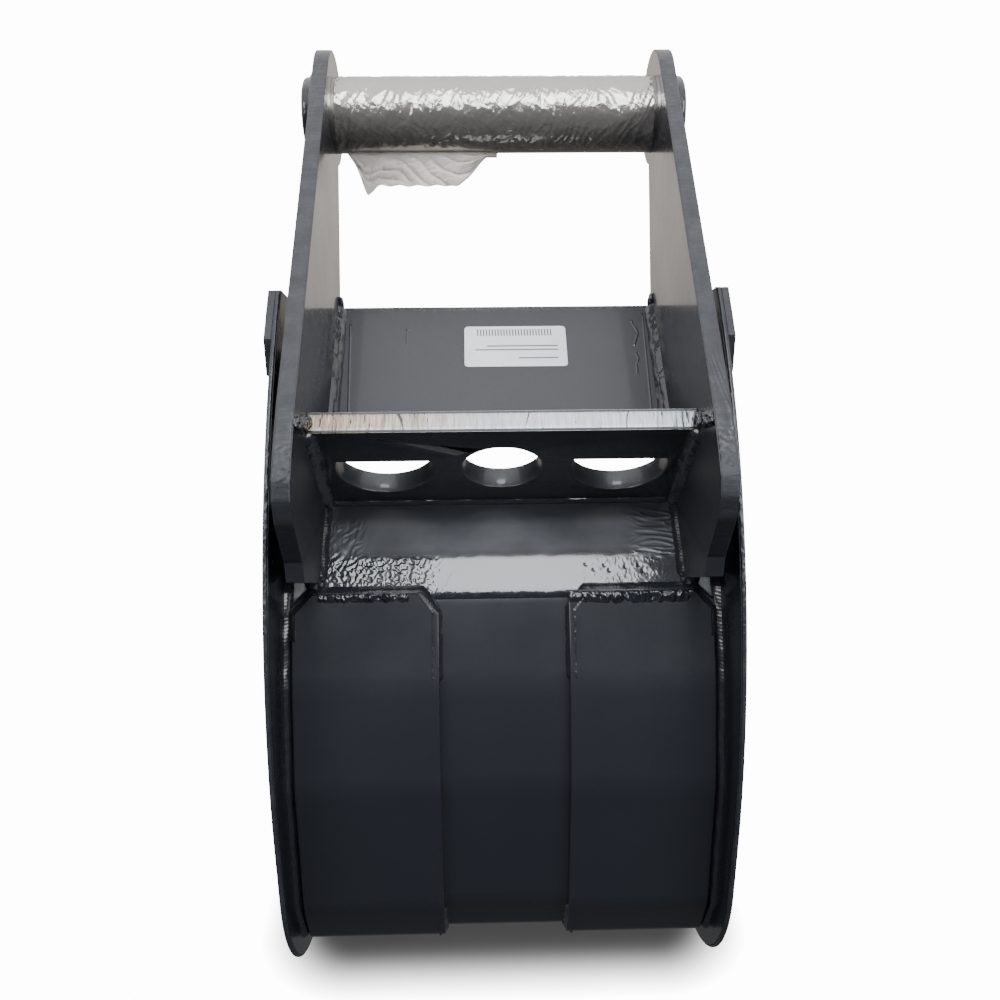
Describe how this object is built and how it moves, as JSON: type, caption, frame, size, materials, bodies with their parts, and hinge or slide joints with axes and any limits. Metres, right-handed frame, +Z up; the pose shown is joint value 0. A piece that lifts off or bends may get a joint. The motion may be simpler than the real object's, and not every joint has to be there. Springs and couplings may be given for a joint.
{
  "type": "excavator digging bucket",
  "caption": "Narrow digging bucket of welded steel plate with a fixed-shaft hanger, a pierced locking plate, wear plates over the heel and socketed teeth.",
  "frame": {"origin": "centre of the underside of the bounding box, on the ground that the bucket stands on", "axes": "+Z up, +Y from the rear of the bucket to its mouth, +X to the right seen from the rear"},
  "size_m": [0.414, 0.83, 0.8517],
  "materials": {
    "black_paint": "gloss",
    "bare_steel": "satin"
  },
  "bodies": {
    "root": {"side_plate_left": "black_paint", "side_plate_right": "black_paint", "mouth_edge_plate_left": "black_paint", "mouth_edge_plate_right": "black_paint", "shell": "black_paint", "cutting_edge": "black_paint", "tooth_adapter_left": "black_paint", "tooth_adapter_centre": "black_paint", "tooth_adapter_right": "black_paint", "tooth_point_left": "black_paint", "tooth_point_centre": "black_paint", "tooth_point_right": "black_paint", "tooth_pins": "bare_steel", "wear_plate_left": "black_paint", "wear_plate_right": "black_paint", "ear_left": "black_paint", "ear_right": "black_paint", "hitch_shaft": "bare_steel", "shaft_weld_left": "black_paint", "shaft_weld_right": "black_paint", "seat_plate": "black_paint", "locking_plate": "black_paint", "mouth_tube": "black_paint", "seat_weld_beads": "black_paint", "locking_weld_beads": "black_paint", "ear_foot_weld_beads": "black_paint", "wear_weld_beads": "black_paint", "tube_weld_beads": "black_paint", "shell_weld_beads": "black_paint"}
  },
  "joints": []
}
